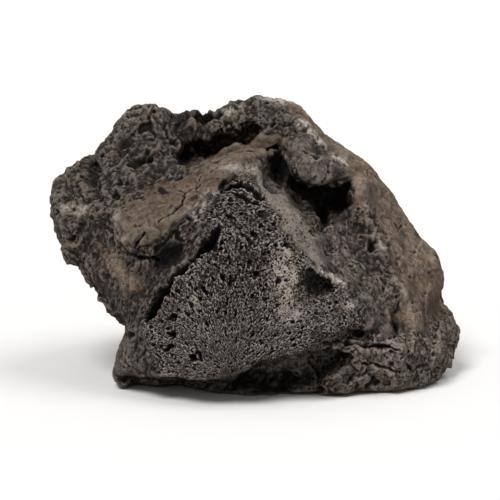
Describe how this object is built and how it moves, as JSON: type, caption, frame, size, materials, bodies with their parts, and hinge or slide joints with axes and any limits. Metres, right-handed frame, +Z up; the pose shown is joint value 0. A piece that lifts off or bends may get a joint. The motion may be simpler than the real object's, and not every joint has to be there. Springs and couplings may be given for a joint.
{
  "type": "lava rock",
  "caption": "Rough block of vesicular lava rock with a steep porous front face, a smooth broken slab, a hollow under a rounded boss and a flat seat to rest on.",
  "frame": {"origin": "bottom centre of the bounding box, on the ground the rock rests on", "axes": "+X along the rock's long way, +Y from its steep porous face to its back, +Z up"},
  "size_m": [0.2, 0.1382, 0.1331],
  "materials": {
    "basalt": "matte, rough and porous, with brown weathered skin and pale mineral crust"
  },
  "bodies": {
    "root": {"lava_rock": "basalt"}
  },
  "joints": []
}
